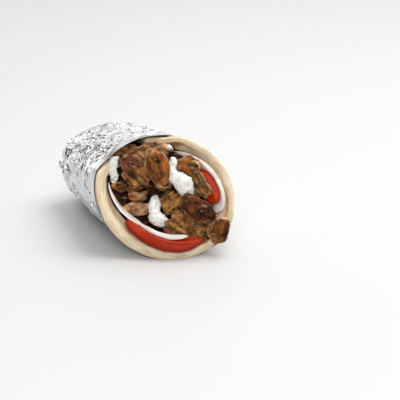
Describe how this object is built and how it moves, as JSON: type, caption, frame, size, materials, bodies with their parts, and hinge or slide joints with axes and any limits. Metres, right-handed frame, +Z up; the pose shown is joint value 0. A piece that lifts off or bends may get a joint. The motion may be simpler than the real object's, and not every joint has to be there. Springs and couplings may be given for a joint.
{
  "type": "gyro wrap",
  "caption": "Rolled flatbread filled with sliced meat, yoghurt sauce, tomato and onion, lying on its side with its tail half in crumpled foil",
  "frame": {"origin": "under the middle of the wrap, on the surface that it lies on", "axes": "+Z up, +Y from the open mouth to the foil-wrapped tail, +X to the right when looking into the mouth"},
  "size_m": [0.0826, 0.1404, 0.0691],
  "materials": {
    "foil": "crumpled kitchen foil",
    "bread": "soft flatbread, cream with a few toasted spots",
    "meat": "roasted sliced meat, brown with seared edges",
    "sauce": "thick yoghurt sauce with herb flecks",
    "tomato": "ripe tomato, wet",
    "onion": "raw onion, translucent white with a purple edge"
  },
  "bodies": {
    "root": {"foil_wrapper": "foil", "meat_arch": "meat", "meat_bottom_broad": "meat", "meat_bottom_chip": "meat", "meat_core": "meat", "meat_curl": "meat", "meat_left_broad": "meat", "meat_left_chip": "meat", "meat_left_fold": "meat", "meat_left_ragged": "meat", "meat_left_under": "meat", "meat_middle_broad": "meat", "meat_middle_small": "meat", "meat_over_lip": "meat", "meat_right_dark": "meat", "meat_right_thin_inner": "meat", "meat_right_thin_outer": "meat", "meat_top_crumbled": "meat", "meat_top_left": "meat", "meat_top_right": "meat", "onion_left": "onion", "onion_low": "onion", "onion_right": "onion", "pita": "bread", "tomato_low": "tomato", "tomato_right": "tomato", "tzatziki_left": "sauce", "tzatziki_low": "sauce", "tzatziki_right": "sauce", "tzatziki_top": "sauce"}
  },
  "joints": []
}
